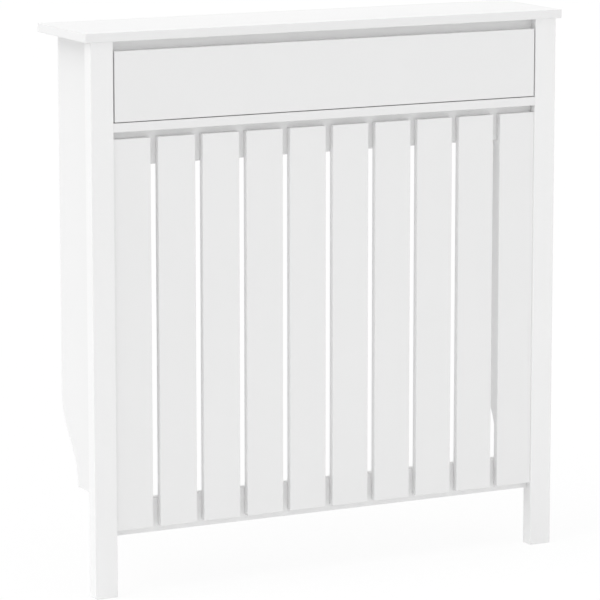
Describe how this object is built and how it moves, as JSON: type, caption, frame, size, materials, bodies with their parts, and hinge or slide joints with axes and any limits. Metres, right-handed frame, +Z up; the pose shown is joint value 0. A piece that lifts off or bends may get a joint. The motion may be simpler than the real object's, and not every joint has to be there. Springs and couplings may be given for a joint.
{
  "type": "radiator cover cabinet",
  "caption": "Slatted radiator cover on two front posts, with a wide shallow drawer on roller runners under a flat top board and side panels cut back to clear a skirting board.",
  "frame": {"origin": "on the floor, in the middle of the outline of the top board", "axes": "+X to the right seen from the front, +Y towards the wall behind, +Z up"},
  "size_m": [0.9, 0.2, 0.95],
  "materials": {
    "white_post": "sprayed white satin lacquer on solid board",
    "white_board": "sprayed white satin lacquer on fibreboard",
    "white_hardboard": "thin white-faced hardboard",
    "coated_steel": "white epoxy coat on folded sheet steel",
    "zinc_steel": "bright zinc plate",
    "nylon": "natural white nylon",
    "beech": "plain turned beech"
  },
  "bodies": {
    "cabinet": {"top_board": "white_board", "drawer_shelf": "white_board", "drawer_top_rail": "white_board", "upper_slat_rail": "white_board", "lower_slat_rail": "white_board", "slat_01": "white_board", "slat_02": "white_board", "slat_03": "white_board", "slat_04": "white_board", "slat_05": "white_board", "slat_06": "white_board", "slat_07": "white_board", "slat_08": "white_board", "slat_09": "white_board", "slat_10": "white_board", "left_post": "white_post", "left_side_panel": "white_board", "left_top_rail_dowel": "beech", "left_shelf_dowel": "beech", "left_upper_rail_dowel": "beech", "left_lower_rail_dowel": "beech", "left_shelf_cam": "zinc_steel", "left_shelf_cam_bolt": "zinc_steel", "left_top_cam": "zinc_steel", "left_top_cam_bolt": "zinc_steel", "left_wall_bracket": "zinc_steel", "left_bracket_outer_screw": "zinc_steel", "left_bracket_inner_screw": "zinc_steel", "left_cabinet_runner": "coated_steel", "left_cabinet_axle": "zinc_steel", "right_post": "white_post", "right_side_panel": "white_board", "right_top_rail_dowel": "beech", "right_shelf_dowel": "beech", "right_upper_rail_dowel": "beech", "right_lower_rail_dowel": "beech", "right_shelf_cam": "zinc_steel", "right_shelf_cam_bolt": "zinc_steel", "right_top_cam": "zinc_steel", "right_top_cam_bolt": "zinc_steel", "right_wall_bracket": "zinc_steel", "right_bracket_outer_screw": "zinc_steel", "right_bracket_inner_screw": "zinc_steel", "right_cabinet_runner": "coated_steel", "right_cabinet_axle": "zinc_steel"},
    "drawer": {"drawer_front": "white_board", "drawer_left_side": "white_board", "drawer_right_side": "white_board", "drawer_back": "white_board", "drawer_base": "white_hardboard", "left_drawer_runner": "coated_steel", "left_drawer_axle": "zinc_steel", "right_drawer_runner": "coated_steel", "right_drawer_axle": "zinc_steel"},
    "left_cabinet_roller": {"left_cabinet_roller": "nylon"},
    "left_drawer_roller": {"left_drawer_roller": "nylon"},
    "right_cabinet_roller": {"right_cabinet_roller": "nylon"},
    "right_drawer_roller": {"right_drawer_roller": "nylon"}
  },
  "joints": [
    {"name": "drawer_slide", "type": "slide", "parent": "cabinet", "child": "drawer", "axis": [0, -1, 0], "range_m": [0, 0.108]},
    {"name": "left_cabinet_roller_spin", "type": "hinge", "parent": "cabinet", "child": "left_cabinet_roller", "pos_m": [-0.3949, -0.069, 0.8127], "axis": [1, 0, 0], "continuous": true},
    {"name": "left_drawer_roller_spin", "type": "hinge", "parent": "drawer", "child": "left_drawer_roller", "pos_m": [-0.3926, 0.057, 0.8124], "axis": [1, 0, 0], "continuous": true},
    {"name": "right_cabinet_roller_spin", "type": "hinge", "parent": "cabinet", "child": "right_cabinet_roller", "pos_m": [0.3949, -0.069, 0.8127], "axis": [1, 0, 0], "continuous": true},
    {"name": "right_drawer_roller_spin", "type": "hinge", "parent": "drawer", "child": "right_drawer_roller", "pos_m": [0.3926, 0.057, 0.8124], "axis": [1, 0, 0], "continuous": true}
  ],
  "couplings": [
    {"joint": "left_cabinet_roller_spin", "follows": "drawer_slide", "rad_per_m": 125},
    {"joint": "left_drawer_roller_spin", "follows": "drawer_slide", "rad_per_m": 125},
    {"joint": "right_cabinet_roller_spin", "follows": "drawer_slide", "rad_per_m": 125},
    {"joint": "right_drawer_roller_spin", "follows": "drawer_slide", "rad_per_m": 125}
  ]
}
